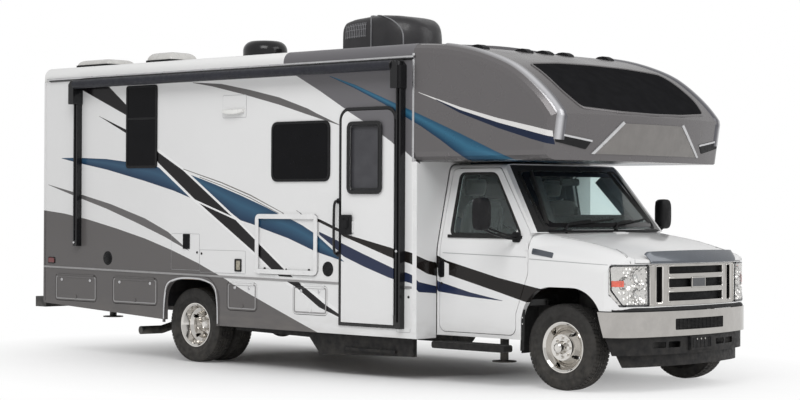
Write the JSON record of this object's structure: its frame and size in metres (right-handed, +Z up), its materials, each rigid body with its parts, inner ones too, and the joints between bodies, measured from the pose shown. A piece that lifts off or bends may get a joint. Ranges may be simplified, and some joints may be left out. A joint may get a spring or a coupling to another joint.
{
  "type": "class c motorhome",
  "caption": "Class C motorhome: a coach body with an overcab cap on a cutaway van chassis, with opening doors, hood and storage bays, steered front and twin rear wheels.",
  "frame": {"origin": "on the ground at the middle of the overall length and width", "axes": "+X forward, +Y to the driver's (left) side, +Z up"},
  "size_m": [7.82, 2.86, 3.4512],
  "materials": {
    "chassis_black": "satin black paint with road dust",
    "cast_metal": "rough cast metal",
    "under_metal": "dull dark paint",
    "cab_paint": "gloss white paint with grey and blue graphics",
    "clear_glass": "clear tinted glass",
    "cab_plastic": "grained grey plastic",
    "seat_cloth": "woven tan and grey cloth",
    "chrome_trim": "polished chrome",
    "black_mesh": "black plastic mesh",
    "lamp_lens": "clear lens over a bright reflector",
    "black_plastic": "grained black plastic",
    "step_metal": "ribbed aluminium",
    "wall_paint": "gloss white laminate with graphics",
    "skirt_paint": "metallic grey paint",
    "dark_glass": "dark tinted glass in a black frame",
    "floor_board": "wood board",
    "roof_skin": "white roof membrane",
    "cap_paint": "metallic grey moulded shell",
    "black_trim": "black trim",
    "bay_liner": "black moulded box",
    "awning_metal": "white coated aluminium",
    "awning_cloth": "rolled dark awning cloth",
    "vent_plastic": "white vent lids",
    "amber_lens": "amber and red lenses",
    "bumper_metal": "black painted steel",
    "ladder_metal": "bright tube",
    "fitting_plastic": "moulded hatches and vents",
    "smoked_plastic": "smoked plastic",
    "tyre": "black tyre rubber",
    "wheel_chrome": "polished steel wheel"
  },
  "bodies": {
    "chassis": {"frame": "chassis_black", "front_suspension": "chassis_black", "rear_axle": "chassis_black", "engine_and_gearbox": "cast_metal", "under_floor_gear": "under_metal", "cab_shell": "cab_paint", "windshield": "clear_glass", "dashboard": "cab_plastic", "front_seats": "seat_cloth", "grille": "chrome_trim", "grille_backing": "black_mesh", "headlamps": "lamp_lens", "front_bumper": "chrome_trim", "air_dam": "black_plastic", "steps": "step_metal", "side_walls": "wall_paint", "skirts": "skirt_paint", "coach_windows": "dark_glass", "end_walls": "wall_paint", "coach_floor": "floor_board", "roof": "roof_skin", "front_cap": "cap_paint", "entry_frame": "black_trim", "storage_boxes": "bay_liner", "awning_arms": "awning_metal", "awning_roller": "awning_cloth", "air_conditioner": "black_plastic", "roof_vents": "vent_plastic", "roof_dome": "black_plastic", "lamps": "amber_lens", "rear_bumper": "bumper_metal", "ladder": "ladder_metal", "wall_fittings": "fitting_plastic"},
    "hood": {"hood": "cab_paint", "hood_deflector": "smoked_plastic"},
    "entry_door": {"entry_door": "wall_paint", "entry_window": "dark_glass"},
    "locker_door": {"locker_door": "wall_paint"},
    "knuckle_left": {"knuckle_left": "chassis_black"},
    "front_wheel_left": {"front_tyre_left": "tyre", "front_rim_left": "wheel_chrome"},
    "rear_wheels_left": {"rear_tyres_left": "tyre", "rear_rims_left": "wheel_chrome"},
    "cab_door_left": {"cab_door_left": "cab_paint", "cab_door_glass_left": "clear_glass", "mirror_left": "black_plastic"},
    "knuckle_right": {"knuckle_right": "chassis_black"},
    "front_wheel_right": {"front_tyre_right": "tyre", "front_rim_right": "wheel_chrome"},
    "rear_wheels_right": {"rear_tyres_right": "tyre", "rear_rims_right": "wheel_chrome"},
    "cab_door_right": {"cab_door_right": "cab_paint", "cab_door_glass_right": "clear_glass", "mirror_right": "black_plastic"},
    "bay_door_right_a": {"bay_door_right_a": "skirt_paint"},
    "bay_door_right_b": {"bay_door_right_b": "skirt_paint"},
    "bay_door_right_c": {"bay_door_right_c": "skirt_paint"},
    "bay_door_right_d": {"bay_door_right_d": "skirt_paint"},
    "bay_door_left_a": {"bay_door_left_a": "skirt_paint"},
    "bay_door_left_b": {"bay_door_left_b": "skirt_paint"}
  },
  "joints": [
    {"name": "hood_hinge", "type": "hinge", "parent": "chassis", "child": "hood", "pos_m": [3.025, 0, 1.34798], "axis": [0, -1, 0], "range_deg": [0, 32]},
    {"name": "entry_hinge", "type": "hinge", "parent": "chassis", "child": "entry_door", "pos_m": [1.462, -1.2913, 1.472], "axis": [0, 0, 1], "range_deg": [0, 90]},
    {"name": "steer_left", "type": "hinge", "parent": "chassis", "child": "knuckle_left", "pos_m": [3.15, 0.8195, 0.372], "axis": [0, 0, 1], "range_deg": [-33, 33]},
    {"name": "spin_front_left", "type": "hinge", "parent": "knuckle_left", "child": "front_wheel_left", "pos_m": [3.15, 0.8815, 0.372], "axis": [0, 1, 0], "continuous": true},
    {"name": "spin_rear_left", "type": "hinge", "parent": "chassis", "child": "rear_wheels_left", "pos_m": [-1.32, 0.99, 0.372], "axis": [0, 1, 0], "continuous": true},
    {"name": "cab_door_left_hinge", "type": "hinge", "parent": "chassis", "child": "cab_door_left", "pos_m": [2.787, 1.0043, 0.8985], "axis": [0, 0, -1], "range_deg": [0, 65]},
    {"name": "steer_right", "type": "hinge", "parent": "chassis", "child": "knuckle_right", "pos_m": [3.15, -0.8195, 0.372], "axis": [0, 0, 1], "range_deg": [-33, 33]},
    {"name": "spin_front_right", "type": "hinge", "parent": "knuckle_right", "child": "front_wheel_right", "pos_m": [3.15, -0.8815, 0.372], "axis": [0, 1, 0], "continuous": true},
    {"name": "spin_rear_right", "type": "hinge", "parent": "chassis", "child": "rear_wheels_right", "pos_m": [-1.32, -0.99, 0.372], "axis": [0, 1, 0], "continuous": true},
    {"name": "cab_door_right_hinge", "type": "hinge", "parent": "chassis", "child": "cab_door_right", "pos_m": [2.787, -1.0043, 0.8985], "axis": [0, 0, 1], "range_deg": [0, 65]},
    {"name": "bay_door_right_a_hinge", "type": "hinge", "parent": "chassis", "child": "bay_door_right_a", "pos_m": [-3.17, -1.2773, 0.821], "axis": [-1, 0, 0], "range_deg": [0, 85]},
    {"name": "bay_door_right_b_hinge", "type": "hinge", "parent": "chassis", "child": "bay_door_right_b", "pos_m": [-2.194, -1.2773, 0.821], "axis": [-1, 0, 0], "range_deg": [0, 85]},
    {"name": "bay_door_right_c_hinge", "type": "hinge", "parent": "chassis", "child": "bay_door_right_c", "pos_m": [-0.568, -1.2773, 0.821], "axis": [-1, 0, 0], "range_deg": [0, 85]},
    {"name": "bay_door_right_d_hinge", "type": "hinge", "parent": "chassis", "child": "bay_door_right_d", "pos_m": [0.376, -1.2773, 0.821], "axis": [-1, 0, 0], "range_deg": [0, 85]},
    {"name": "bay_door_left_a_hinge", "type": "hinge", "parent": "chassis", "child": "bay_door_left_a", "pos_m": [-2.925, 1.2773, 0.821], "axis": [1, 0, 0], "range_deg": [0, 85]},
    {"name": "bay_door_left_b_hinge", "type": "hinge", "parent": "chassis", "child": "bay_door_left_b", "pos_m": [0.7, 1.2773, 0.821], "axis": [1, 0, 0], "range_deg": [0, 85]},
    {"name": "locker_hinge", "type": "hinge", "parent": "chassis", "child": "locker_door", "pos_m": [0.058, -1.2773, 1.491], "axis": [-1, 0, 0], "range_deg": [0, 85]}
  ],
  "couplings": [
    {"joint": "steer_right", "follows": "steer_left", "ratio": 1}
  ]
}
